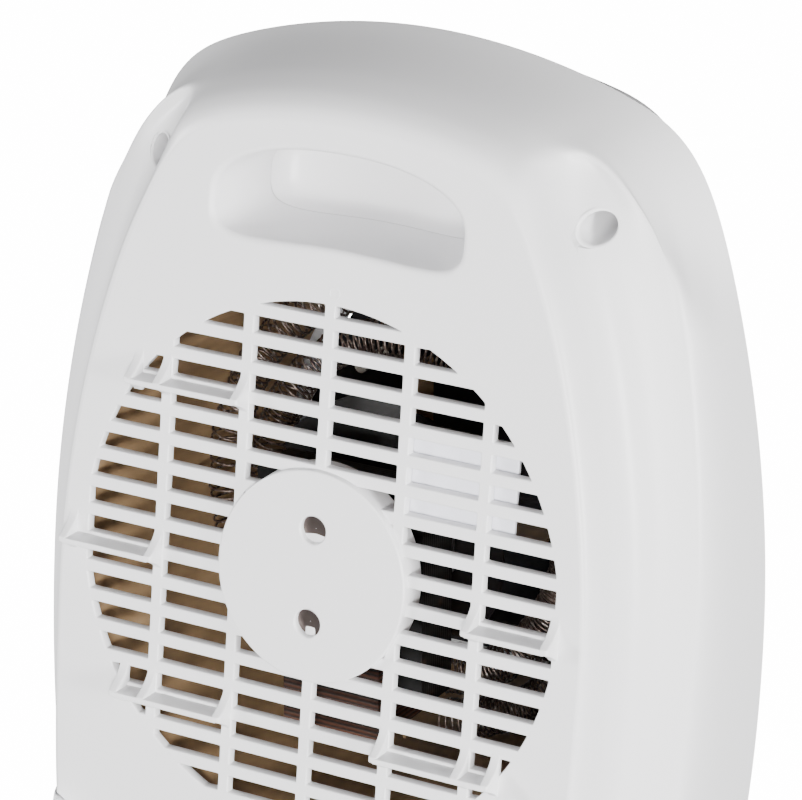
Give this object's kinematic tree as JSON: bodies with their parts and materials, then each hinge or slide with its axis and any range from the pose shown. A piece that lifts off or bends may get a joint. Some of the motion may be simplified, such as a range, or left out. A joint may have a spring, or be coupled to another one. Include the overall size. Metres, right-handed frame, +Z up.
{
  "type": "fan convector heater",
  "caption": "Upright portable fan heater: white moulded shells with a round rear inlet grille, grip recess, air duct, motor and fan, wire element and rotary controls.",
  "frame": {"origin": "on the floor under the middle of the heater", "axes": "+Z up; the warm-air outlet and controls face -Y; the rear inlet grille faces +Y; +X is to the right seen from the front"},
  "size_m": [0.195, 0.1252, 0.252],
  "materials": {
    "white_plastic": "fine satin moulded",
    "label_white": "smooth",
    "black_plastic": "satin",
    "fan_plastic": "dark semi-gloss",
    "dark_steel": "dark varnished laminations",
    "steel": "zinc plated",
    "mica": "flaky satin",
    "coil_wire": "oxidised resistance wire",
    "winding": "taped copper winding",
    "rubber": "matt",
    "lens": "clear red",
    "ceramic": "glazed off-white",
    "lead_brown": "sleeved wire",
    "lead_blue": "sleeved wire",
    "brass": "plain"
  },
  "bodies": {
    "housing": {"rear_shell": "white_plastic", "front_shell": "white_plastic", "front_grille": "white_plastic", "grip_cup": "white_plastic", "base_plate": "white_plastic", "shield_plate": "label_white", "function_switch_body": "black_plastic", "thermal_cutout": "black_plastic", "cord_clamp": "black_plastic", "motor_stack": "dark_steel", "motor_rear_bracket": "dark_steel", "air_duct": "steel", "motor_front_bracket": "steel", "shell_screw_top_left": "steel", "shell_screw_top_right": "steel", "shell_screw_low_left": "steel", "shell_screw_low_right": "steel", "motor_screw_upper": "steel", "motor_screw_lower": "steel", "mica_liner": "mica", "mica_board_flat": "mica", "mica_board_upright": "mica", "heating_coil_outer": "coil_wire", "heating_coil_inner": "coil_wire", "motor_winding": "winding", "rubber_foot_1": "rubber", "rubber_foot_2": "rubber", "rubber_foot_3": "rubber", "rubber_foot_4": "rubber", "cord_gland": "rubber", "indicator_lens": "lens", "neon_lamp": "ceramic", "thermal_fuse": "ceramic", "terminal_block": "ceramic", "thermostat_body": "ceramic", "lead_live": "lead_brown", "lead_neutral": "lead_blue"},
    "fan": {"fan_rotor": "fan_plastic", "motor_shaft": "steel", "motor_rotor_core": "dark_steel", "fan_clip": "steel"},
    "function_control": {"function_switch_knob": "white_plastic", "function_switch_shaft": "brass"},
    "thermostat_control": {"thermostat_knob": "white_plastic", "thermostat_shaft": "brass"}
  },
  "joints": [
    {"name": "fan_spin", "type": "hinge", "parent": "housing", "child": "fan", "pos_m": [0, 0.00925, 0.1245], "axis": [0, 1, 0], "continuous": true},
    {"name": "function_turn", "type": "hinge", "parent": "housing", "child": "function_control", "pos_m": [0.031, -0.04965, 0.2075], "axis": [0, 1, 0], "range_deg": [0, 270]},
    {"name": "thermostat_turn", "type": "hinge", "parent": "housing", "child": "thermostat_control", "pos_m": [-0.031, -0.04965, 0.2075], "axis": [0, 1, 0], "range_deg": [0, 270]}
  ]
}
